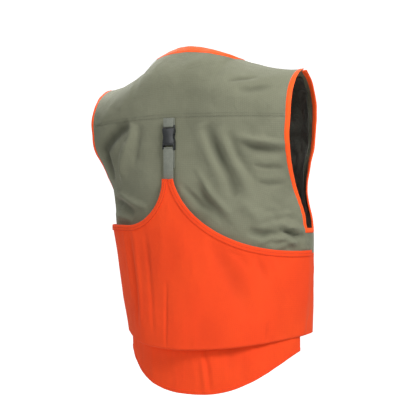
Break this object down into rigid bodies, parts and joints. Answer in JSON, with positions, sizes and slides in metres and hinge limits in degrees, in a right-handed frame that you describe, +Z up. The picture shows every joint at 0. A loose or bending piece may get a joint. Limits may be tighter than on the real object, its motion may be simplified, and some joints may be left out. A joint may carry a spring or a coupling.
{
  "type": "upland hunting vest",
  "caption": "Sleeveless field vest with an olive back, blaze orange binding, lower panels and shirt tail, a large rear game pouch held by a buckled strap, and open fronts with flap pockets.",
  "frame": {"origin": "middle of the neck opening, level with the neck ends of the shoulder seams, where the vest rests on the wearer", "axes": "+Z up, the front faces -Y, the game pouch +Y, the wearer's left is +X"},
  "size_m": [0.5323, 0.3627, 0.7737],
  "materials": {
    "olive_cloth": "matte woven olive cloth with a fine rib",
    "orange_cloth": "matte blaze orange woven cloth",
    "orange_binding": "folded blaze orange binding tape with a slight sheen",
    "lining": "thin dark nylon lining, slightly shiny",
    "webbing": "grey-green woven webbing",
    "zip_tape": "black woven zip tape",
    "buckle_plastic": "moulded charcoal plastic with a fine grain",
    "zip_plastic": "moulded black zip teeth",
    "zip_metal": "black enamelled zip slider and pull",
    "snap_brass": "aged brass snaps"
  },
  "bodies": {
    "vest": {"back_yoke": "olive_cloth", "back_panel": "olive_cloth", "back_lining": "lining", "tail_panel": "orange_cloth", "tail_hem": "orange_cloth", "underarm_left": "olive_cloth", "underarm_right": "olive_cloth", "side_panel_left": "orange_cloth", "side_panel_right": "orange_cloth", "left_shoulder_front": "olive_cloth", "right_shoulder_front": "olive_cloth", "left_shoulder_lining": "lining", "right_shoulder_lining": "lining", "neck_binding": "orange_binding", "armhole_binding_left": "orange_binding", "armhole_binding_right": "orange_binding", "hanger_loop": "webbing", "strap_anchor": "webbing", "pouch_gusset_left": "orange_cloth", "pouch_gusset_right": "orange_cloth"},
    "game_pouch": {"pouch_panel": "orange_cloth", "pouch_facing": "orange_cloth", "pouch_floor": "orange_cloth"},
    "buckle_socket": {"buckle_socket": "buckle_plastic"},
    "buckle_plug": {"buckle_plug": "buckle_plastic", "strap_tail": "webbing"},
    "plug_arm_left": {"plug_arm_left": "buckle_plastic"},
    "plug_arm_right": {"plug_arm_right": "buckle_plastic"},
    "pouch_strap": {"pouch_strap": "webbing"},
    "left_front": {"left_front": "olive_cloth", "left_front_lining": "lining", "left_vee_binding": "orange_binding", "left_zip_tape": "zip_tape", "left_zip_teeth": "zip_plastic", "zip_box": "zip_plastic", "left_pocket": "orange_cloth", "left_snap_stud": "snap_brass"},
    "right_front": {"right_front": "olive_cloth", "right_front_lining": "lining", "right_vee_binding": "orange_binding", "right_zip_tape": "zip_tape", "right_zip_teeth": "zip_plastic", "zip_pin": "zip_plastic", "right_pocket": "orange_cloth", "right_snap_stud": "snap_brass"},
    "zip_slider": {"zip_slider": "zip_metal"},
    "zip_pull": {"zip_pull": "zip_metal"},
    "left_pocket_flap": {"left_pocket_flap": "orange_cloth", "left_snap_cap": "snap_brass"},
    "right_pocket_flap": {"right_pocket_flap": "orange_cloth", "right_snap_cap": "snap_brass"}
  },
  "joints": [
    {"name": "left_front_open", "type": "hinge", "parent": "vest", "child": "left_front", "pos_m": [0.12836, -0.13838, -0.367], "axis": [-0.12, 0.025, 0.9925], "range_deg": [0, 40]},
    {"name": "right_front_open", "type": "hinge", "parent": "vest", "child": "right_front", "pos_m": [-0.15313, -0.13838, -0.367], "axis": [-0.2418, -0.0245, -0.97], "range_deg": [0, 40]},
    {"name": "pouch_open", "type": "hinge", "parent": "vest", "child": "game_pouch", "pos_m": [0, 0.1, -0.65], "axis": [-1, 0, 0], "range_deg": [0, 8]},
    {"name": "socket_swing", "type": "hinge", "parent": "vest", "child": "buckle_socket", "pos_m": [0, 0.1435, -0.16], "axis": [1, 0, 0], "range_deg": [0, 16.5]},
    {"name": "plug_release", "type": "slide", "parent": "buckle_socket", "child": "buckle_plug", "axis": [0, 0, -1], "range_m": [0, 0.024]},
    {"name": "left_arm_squeeze", "type": "hinge", "parent": "buckle_plug", "child": "plug_arm_left", "pos_m": [0.009, 0.1435, -0.1976], "axis": [0, -1, 0], "range_deg": [0, 5], "stiffness_Nm_per_rad": 0.05},
    {"name": "right_arm_squeeze", "type": "hinge", "parent": "buckle_plug", "child": "plug_arm_right", "pos_m": [-0.009, 0.1435, -0.1976], "axis": [0, 1, 0], "range_deg": [0, 5], "stiffness_Nm_per_rad": 0.05},
    {"name": "strap_slide", "type": "slide", "parent": "buckle_plug", "child": "pouch_strap", "axis": [0, 0, -1], "range_m": [0, 0.02242]},
    {"name": "zip_travel", "type": "slide", "parent": "left_front", "child": "zip_slider", "axis": [0.0693, 0.1611, 0.9845], "range_m": [0, 0.385]},
    {"name": "zip_pull_swing", "type": "hinge", "parent": "zip_slider", "child": "zip_pull", "pos_m": [-0.02004, -0.19814, -0.60269], "axis": [-0.9975, 0, 0.0702], "range_deg": [0, 150]},
    {"name": "left_flap_lift", "type": "hinge", "parent": "left_front", "child": "left_pocket_flap", "pos_m": [0.07071, -0.16116, -0.434], "axis": [-0.9785, -0.2064, 0], "range_deg": [0, 110]},
    {"name": "right_flap_lift", "type": "hinge", "parent": "right_front", "child": "right_pocket_flap", "pos_m": [-0.10366, -0.16116, -0.434], "axis": [-0.9785, 0.2064, 0], "range_deg": [0, 110]}
  ],
  "couplings": [
    {"joint": "socket_swing", "follows": "pouch_open", "ratio": 2},
    {"joint": "strap_slide", "follows": "pouch_open", "m_per_rad": 0.157},
    {"joint": "right_arm_squeeze", "follows": "left_arm_squeeze", "ratio": 1}
  ]
}
